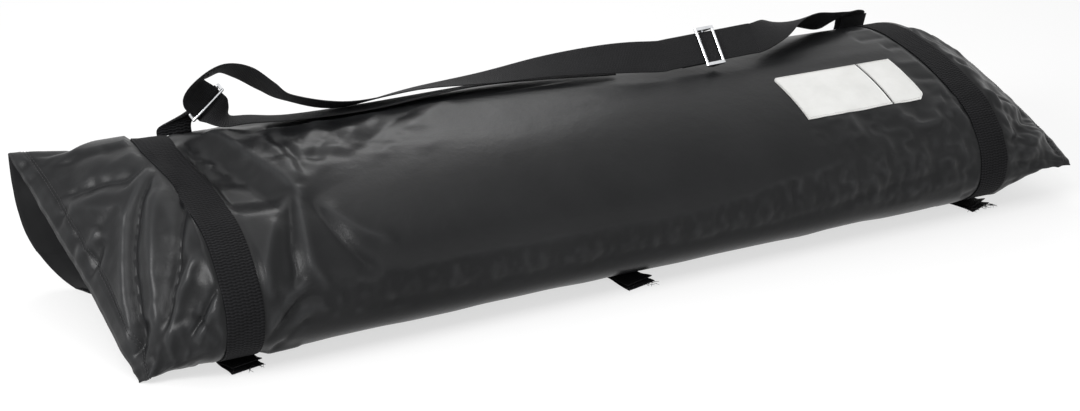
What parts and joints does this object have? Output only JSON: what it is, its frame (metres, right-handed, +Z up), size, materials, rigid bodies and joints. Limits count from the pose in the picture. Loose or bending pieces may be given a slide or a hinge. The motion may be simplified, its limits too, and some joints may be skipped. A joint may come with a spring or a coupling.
{
  "type": "packed portable goal carry bag",
  "caption": "Long black nylon carry bag with a shoulder strap, open at one end, holding a folded portable goal: base frame, bow poles, net and ground stakes.",
  "frame": {"origin": "on the bag's flat underside, midway between the left edges of the two wraps and midway between the bag's front and back", "axes": "+X along the bag towards its sewn end, +Y towards its back, +Z up; the bag lies on z = 0"},
  "size_m": [1.182, 0.324, 0.2418],
  "materials": {
    "coated_nylon": "satin",
    "webbing": "matte",
    "label": "matte",
    "steel_wire": "polished",
    "painted_tube": "gloss",
    "zinc_steel": "satin",
    "black_plastic": "matte",
    "fibreglass": "gloss",
    "elastic_cord": "matte",
    "net_twine": "matte"
  },
  "bodies": {
    "bag": {"bag_shell": "coated_nylon", "left_wrap": "webbing", "right_wrap": "webbing", "left_wrap_tail": "webbing", "right_wrap_tail": "webbing", "bottom_tab": "webbing", "label_panel": "label"},
    "strap": {"shoulder_strap": "webbing", "strap_tab_left": "webbing", "strap_tab_right": "webbing"},
    "left_ring": {"ring_left": "steel_wire"},
    "right_ring": {"ring_right": "steel_wire"},
    "slide": {"strap_slide": "steel_wire", "strap_end_loop": "webbing"},
    "goal_frame": {"rear_rail_left": "painted_tube", "rear_rail_right": "painted_tube", "side_arm_left": "painted_tube", "side_arm_right": "painted_tube", "centre_hinge_fork": "zinc_steel", "centre_hinge_tongue": "zinc_steel", "corner_hinge_forks": "zinc_steel", "corner_hinge_tongues": "zinc_steel", "hinge_pins": "zinc_steel", "arm_end_plugs": "black_plastic", "pole_sockets": "zinc_steel", "frame_ties": "webbing"},
    "bow_pole": {"bow_pole_sections": "fibreglass", "pole_ferrules": "zinc_steel", "pole_end_caps": "zinc_steel", "pole_shock_cord": "elastic_cord", "pole_ties": "webbing"},
    "net": {"net_bundle": "net_twine", "net_ties": "webbing"},
    "stakes": {"ground_stakes": "zinc_steel", "stake_tie": "webbing"}
  },
  "joints": [
    {"name": "strap_swing", "type": "hinge", "parent": "bag", "child": "strap", "pos_m": [0.479, 0.1502, 0.1184], "axis": [-0.9981, -0.0301, 0.0538], "range_deg": [0, 100]},
    {"name": "left_ring_swing", "type": "hinge", "parent": "strap", "child": "left_ring", "pos_m": [-0.388, 0.111, 0.204], "axis": [0.7275, -0.0802, 0.6814], "range_deg": [-6, 6]},
    {"name": "right_ring_swing", "type": "hinge", "parent": "strap", "child": "right_ring", "pos_m": [0.479, 0.154, 0.138], "axis": [1, 0, 0], "range_deg": [-6, 6]},
    {"name": "slide_travel", "type": "slide", "parent": "strap", "child": "slide", "axis": [0.9995, 0.0204, 0.0255], "range_m": [-0.02, 0.02]},
    {"name": "frame_draw", "type": "slide", "parent": "bag", "child": "goal_frame", "axis": [-1, 0, 0], "range_m": [0, 1.05]},
    {"name": "poles_draw", "type": "slide", "parent": "bag", "child": "bow_pole", "axis": [-1, 0, 0], "range_m": [0, 1.05]},
    {"name": "net_draw", "type": "slide", "parent": "bag", "child": "net", "axis": [-1, 0, 0], "range_m": [0, 1.05]},
    {"name": "stakes_draw", "type": "slide", "parent": "bag", "child": "stakes", "axis": [-1, 0, 0], "range_m": [0, 0.72]}
  ]
}
